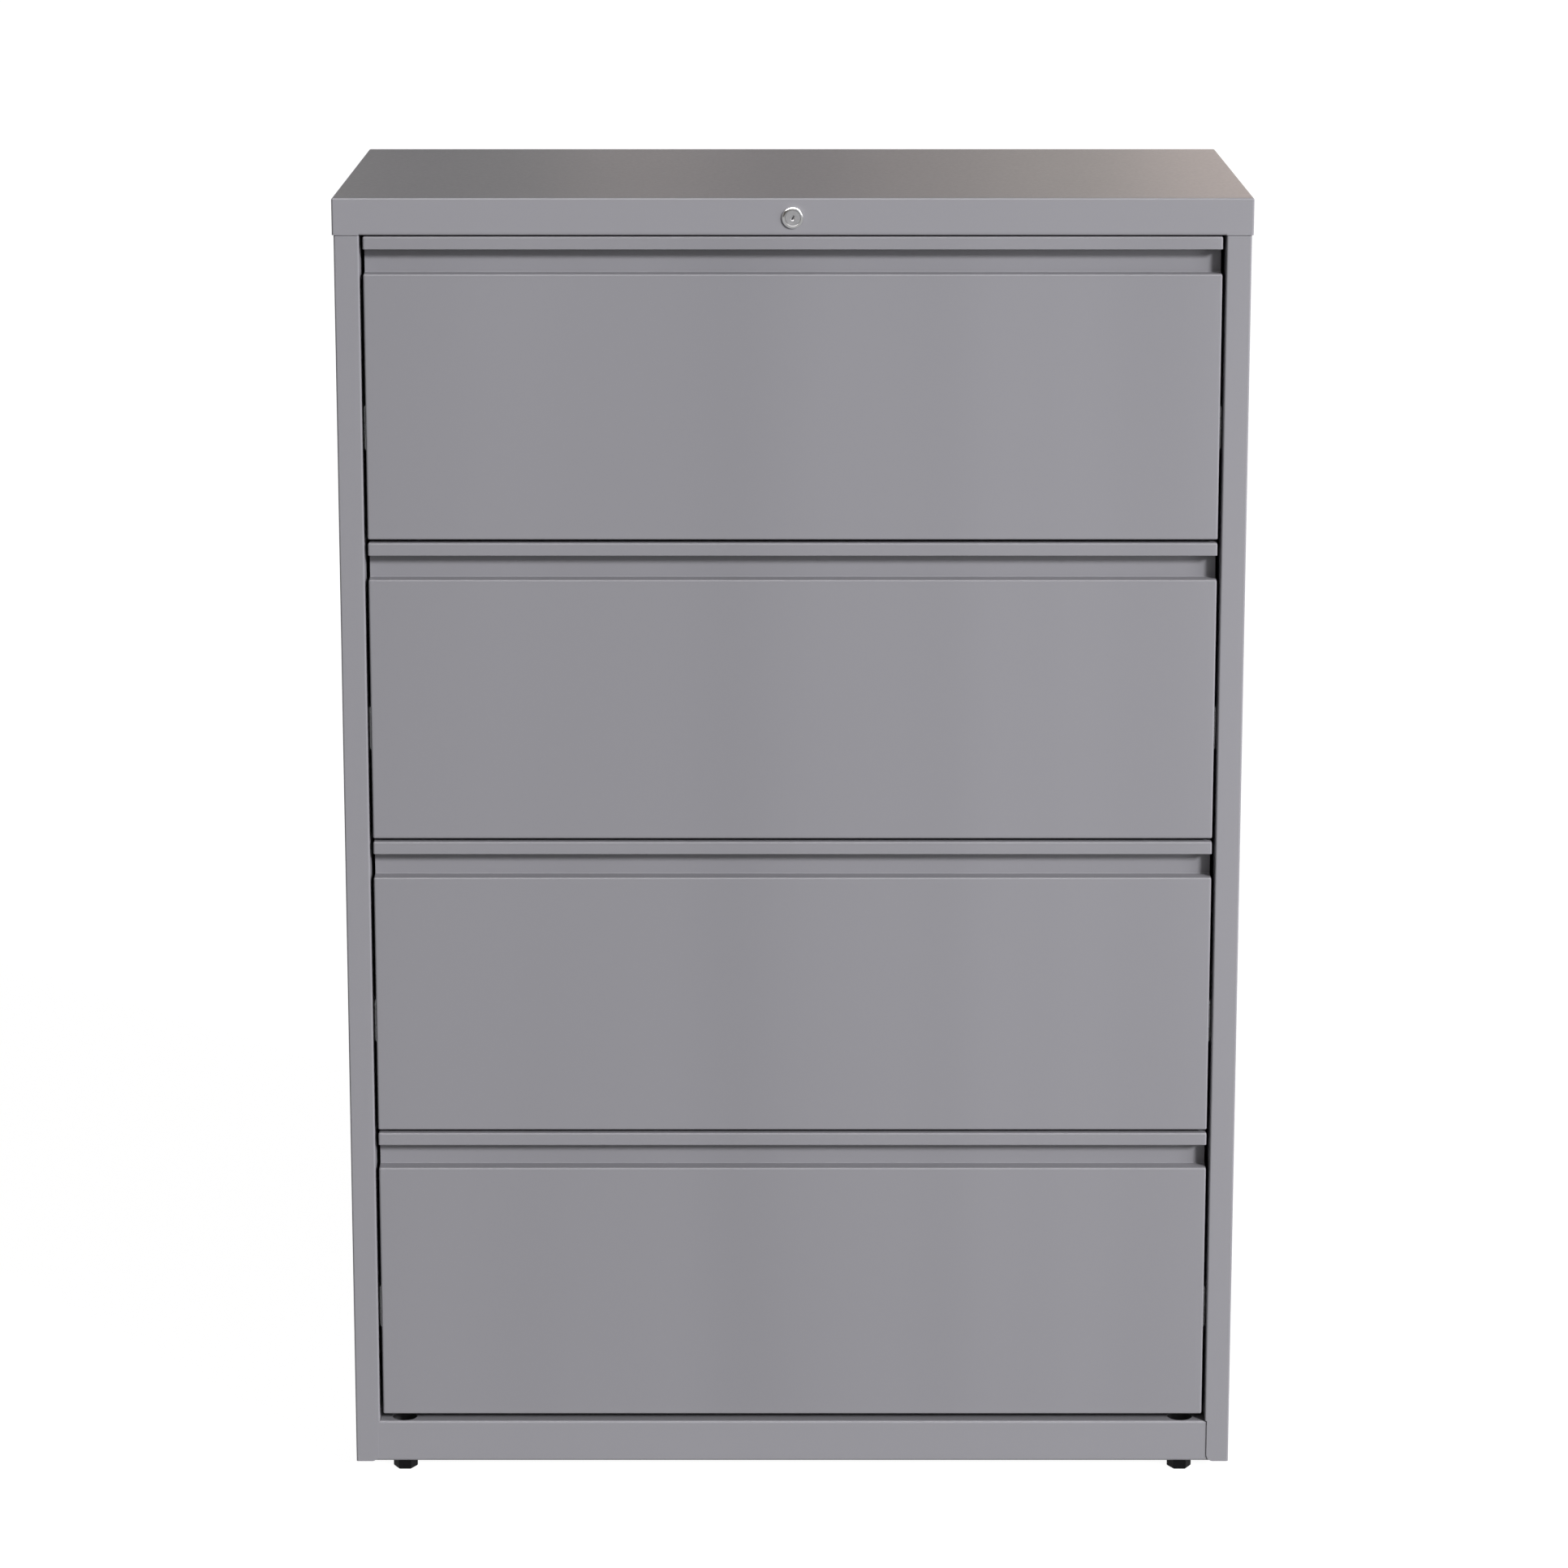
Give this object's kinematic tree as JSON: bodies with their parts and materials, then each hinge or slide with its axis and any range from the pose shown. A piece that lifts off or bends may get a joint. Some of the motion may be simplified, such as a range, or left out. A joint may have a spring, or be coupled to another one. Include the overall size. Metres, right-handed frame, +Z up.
{
  "type": "lateral filing cabinet",
  "caption": "Sheet-steel lateral filing cabinet: wide stacked drawers with full-width recessed pulls on ball slides, a central key lock in the cap and levelling feet.",
  "frame": {"origin": "middle of the footprint on the floor, under the centre of the bounding box", "axes": "+Z up, drawers face -Y and open towards -Y, +X to the right seen from the front"},
  "size_m": [0.9144, 0.4762, 1.3335],
  "materials": {
    "cap_paint": "satin silver-grey powder coat with fine orange peel",
    "body_paint": "satin silver-grey powder coat with fine orange peel",
    "drawer_paint": "satin silver-grey powder coat with fine orange peel",
    "inner_paint": "satin silver-grey powder coat, slightly thinner inside",
    "zinc_steel": "zinc plated, faint rolling grain",
    "slide_steel": "bright zinc plated, lightly greased",
    "lock_chrome": "polished nickel chrome",
    "foot_black": "moulded black nylon",
    "slab_steel": "raw rolled plate with mill scale"
  },
  "bodies": {
    "cabinet": {"top_cap": "cap_paint", "side_panel_left": "body_paint", "side_panel_right": "body_paint", "back_panel": "body_paint", "base_front_rail": "body_paint", "base_pan": "inner_paint", "counterweight": "slab_steel", "rear_upright_left": "zinc_steel", "rear_upright_right": "zinc_steel", "top_front_channel": "zinc_steel", "lock_housing": "lock_chrome", "drawer_1_slide_outer_left": "slide_steel", "drawer_1_slide_outer_right": "slide_steel", "drawer_2_slide_outer_left": "slide_steel", "drawer_2_slide_outer_right": "slide_steel", "drawer_3_slide_outer_left": "slide_steel", "drawer_3_slide_outer_right": "slide_steel", "drawer_4_slide_outer_left": "slide_steel", "drawer_4_slide_outer_right": "slide_steel"},
    "drawer_1": {"drawer_1_front": "drawer_paint", "drawer_1_tray": "inner_paint", "drawer_1_front_hang_rail": "zinc_steel", "drawer_1_rear_hang_rail": "zinc_steel", "drawer_1_slide_inner_left": "slide_steel", "drawer_1_slide_inner_right": "slide_steel"},
    "slides_1": {"drawer_1_slide_mid_left": "slide_steel", "drawer_1_slide_mid_right": "slide_steel"},
    "drawer_2": {"drawer_2_front": "drawer_paint", "drawer_2_tray": "inner_paint", "drawer_2_front_hang_rail": "zinc_steel", "drawer_2_rear_hang_rail": "zinc_steel", "drawer_2_slide_inner_left": "slide_steel", "drawer_2_slide_inner_right": "slide_steel"},
    "slides_2": {"drawer_2_slide_mid_left": "slide_steel", "drawer_2_slide_mid_right": "slide_steel"},
    "drawer_3": {"drawer_3_front": "drawer_paint", "drawer_3_tray": "inner_paint", "drawer_3_front_hang_rail": "zinc_steel", "drawer_3_rear_hang_rail": "zinc_steel", "drawer_3_slide_inner_left": "slide_steel", "drawer_3_slide_inner_right": "slide_steel"},
    "slides_3": {"drawer_3_slide_mid_left": "slide_steel", "drawer_3_slide_mid_right": "slide_steel"},
    "drawer_4": {"drawer_4_front": "drawer_paint", "drawer_4_tray": "inner_paint", "drawer_4_front_hang_rail": "zinc_steel", "drawer_4_rear_hang_rail": "zinc_steel", "drawer_4_slide_inner_left": "slide_steel", "drawer_4_slide_inner_right": "slide_steel"},
    "slides_4": {"drawer_4_slide_mid_left": "slide_steel", "drawer_4_slide_mid_right": "slide_steel"},
    "lock_cylinder": {"lock_plug": "lock_chrome", "lock_cam": "zinc_steel"},
    "lock_link": {"lock_link": "zinc_steel"},
    "lock_bar": {"lock_bar": "zinc_steel"},
    "leveller_front_left": {"leveller_front_left": "foot_black"},
    "leveller_front_right": {"leveller_front_right": "foot_black"},
    "leveller_rear_left": {"leveller_rear_left": "foot_black"},
    "leveller_rear_right": {"leveller_rear_right": "foot_black"}
  },
  "joints": [
    {"name": "drawer_1_slide", "type": "slide", "parent": "cabinet", "child": "drawer_1", "axis": [0, -1, 0], "range_m": [0, 0.4]},
    {"name": "slides_1_travel", "type": "slide", "parent": "cabinet", "child": "slides_1", "axis": [0, -1, 0], "range_m": [0, 0.2]},
    {"name": "drawer_2_slide", "type": "slide", "parent": "cabinet", "child": "drawer_2", "axis": [0, -1, 0], "range_m": [0, 0.4]},
    {"name": "slides_2_travel", "type": "slide", "parent": "cabinet", "child": "slides_2", "axis": [0, -1, 0], "range_m": [0, 0.2]},
    {"name": "drawer_3_slide", "type": "slide", "parent": "cabinet", "child": "drawer_3", "axis": [0, -1, 0], "range_m": [0, 0.4]},
    {"name": "slides_3_travel", "type": "slide", "parent": "cabinet", "child": "slides_3", "axis": [0, -1, 0], "range_m": [0, 0.2]},
    {"name": "drawer_4_slide", "type": "slide", "parent": "cabinet", "child": "drawer_4", "axis": [0, -1, 0], "range_m": [0, 0.4]},
    {"name": "slides_4_travel", "type": "slide", "parent": "cabinet", "child": "slides_4", "axis": [0, -1, 0], "range_m": [0, 0.2]},
    {"name": "key_bar_drop", "type": "slide", "parent": "cabinet", "child": "lock_bar", "axis": [0, 0, -1], "range_m": [0, 0.012]},
    {"name": "key_link_shift", "type": "slide", "parent": "cabinet", "child": "lock_link", "axis": [-1, 0, 0], "range_m": [0, 0.01697]},
    {"name": "key_lock_turn", "type": "hinge", "parent": "cabinet", "child": "lock_cylinder", "pos_m": [0, -0.2349, 1.314], "axis": [0, 1, 0], "range_deg": [0, 90]},
    {"name": "leveller_front_left_turn", "type": "hinge", "parent": "cabinet", "child": "leveller_front_left", "pos_m": [-0.4055, -0.21635, 0], "axis": [0, 0, 1], "continuous": true},
    {"name": "leveller_front_right_turn", "type": "hinge", "parent": "cabinet", "child": "leveller_front_right", "pos_m": [0.4055, -0.21635, 0], "axis": [0, 0, 1], "continuous": true},
    {"name": "leveller_rear_left_turn", "type": "hinge", "parent": "cabinet", "child": "leveller_rear_left", "pos_m": [-0.4055, 0.21565, 0], "axis": [0, 0, 1], "continuous": true},
    {"name": "leveller_rear_right_turn", "type": "hinge", "parent": "cabinet", "child": "leveller_rear_right", "pos_m": [0.4055, 0.21565, 0], "axis": [0, 0, 1], "continuous": true}
  ],
  "couplings": [
    {"joint": "slides_1_travel", "follows": "drawer_1_slide", "ratio": 0.5},
    {"joint": "slides_2_travel", "follows": "drawer_2_slide", "ratio": 0.5},
    {"joint": "slides_3_travel", "follows": "drawer_3_slide", "ratio": 0.5},
    {"joint": "slides_4_travel", "follows": "drawer_4_slide", "ratio": 0.5},
    {"joint": "key_link_shift", "follows": "key_bar_drop", "ratio": 1.4142},
    {"joint": "key_lock_turn", "follows": "key_bar_drop", "rad_per_m": 130.9}
  ]
}
